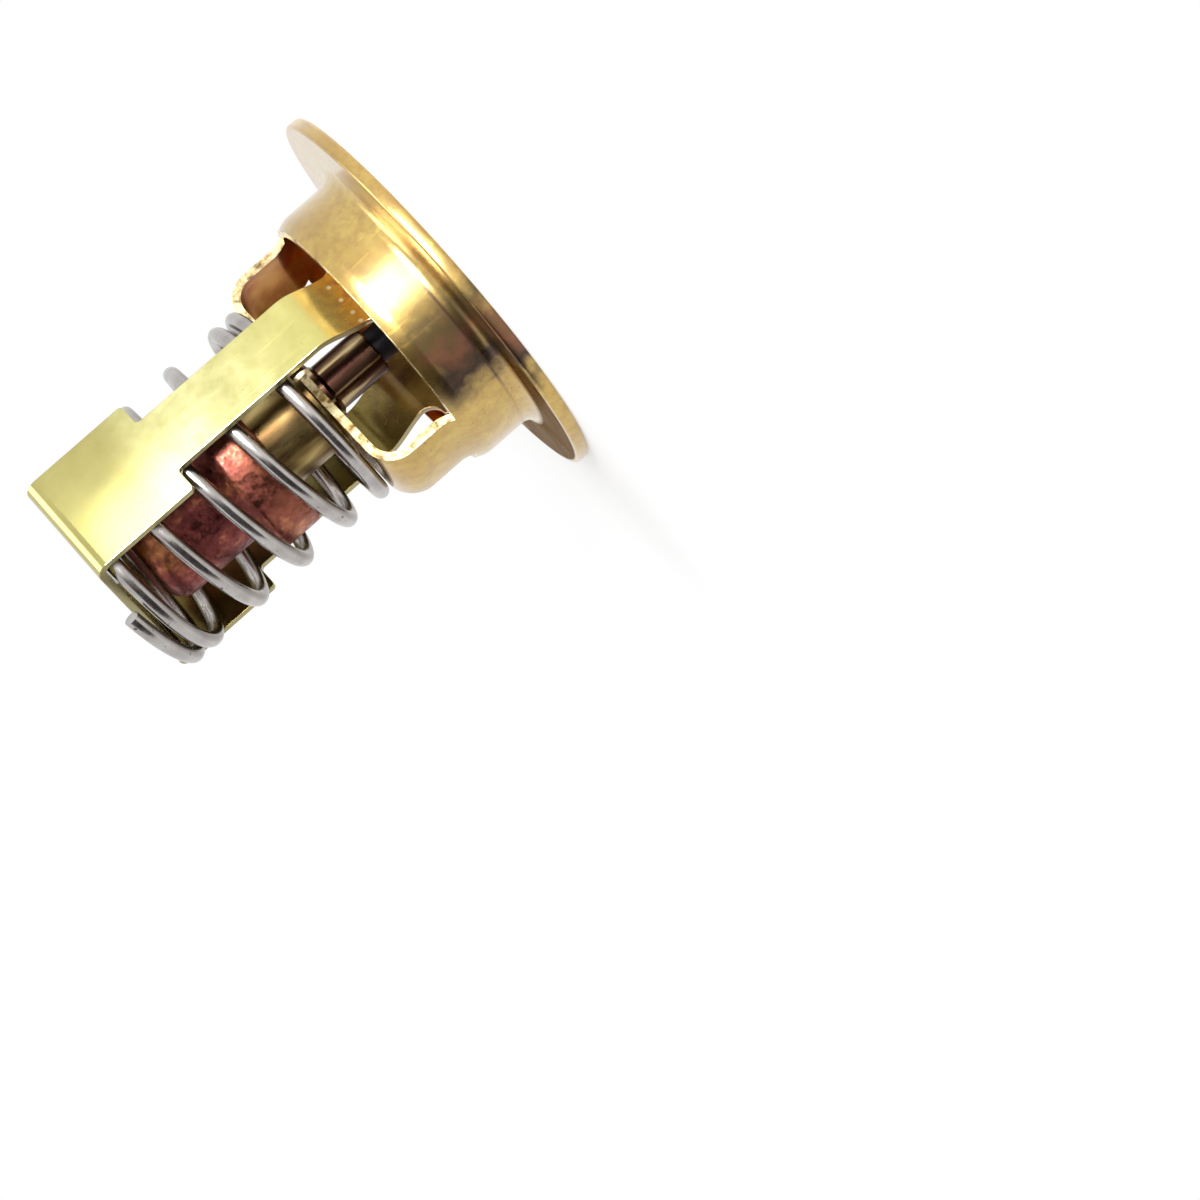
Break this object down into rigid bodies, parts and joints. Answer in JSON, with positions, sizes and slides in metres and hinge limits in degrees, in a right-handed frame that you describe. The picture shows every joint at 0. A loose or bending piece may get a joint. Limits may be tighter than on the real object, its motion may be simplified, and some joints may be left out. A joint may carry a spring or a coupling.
{
  "type": "engine thermostat",
  "caption": "Engine coolant thermostat: flanged cup with two bridges, wax element, coil spring, and a stirrup that holds the valve plate on its seat.",
  "frame": {"origin": "centre of the flange's front face, on the axis; the part stands on this face", "axes": "+Z along the axis from the flange towards the stirrup's base; the stirrup's arms are at -Y and +Y, the cup's bridges at -X and +X"},
  "size_m": [0.033, 0.033, 0.0341],
  "materials": {
    "cup_brass": "drawn, polished, lightly tarnished",
    "stirrup_brass": "satin rolled strip",
    "turned_brass": "turned",
    "copper": "drawn copper, mottled",
    "spring_steel": "drawn stainless wire",
    "piston_steel": "blackened",
    "rubber": "moulded",
    "wax": "copper-filled wax",
    "ptfe": "plain"
  },
  "bodies": {
    "housing": {"flange_cup": "cup_brass", "element_guide": "turned_brass", "anti_chafe_disc": "ptfe", "rubber_plug": "rubber", "diaphragm": "rubber", "copper_cup": "copper", "wax_charge": "wax", "return_spring": "spring_steel"},
    "valve": {"valve_plate": "cup_brass", "stirrup": "stirrup_brass", "piston": "piston_steel"}
  },
  "joints": [
    {"name": "valve_lift", "type": "slide", "parent": "housing", "child": "valve", "axis": [0, 0, -1], "range_m": [0, 0.002], "stiffness_N_per_m": 1150, "springref_m": -0.0105, "deforming": ["return_spring"]}
  ]
}
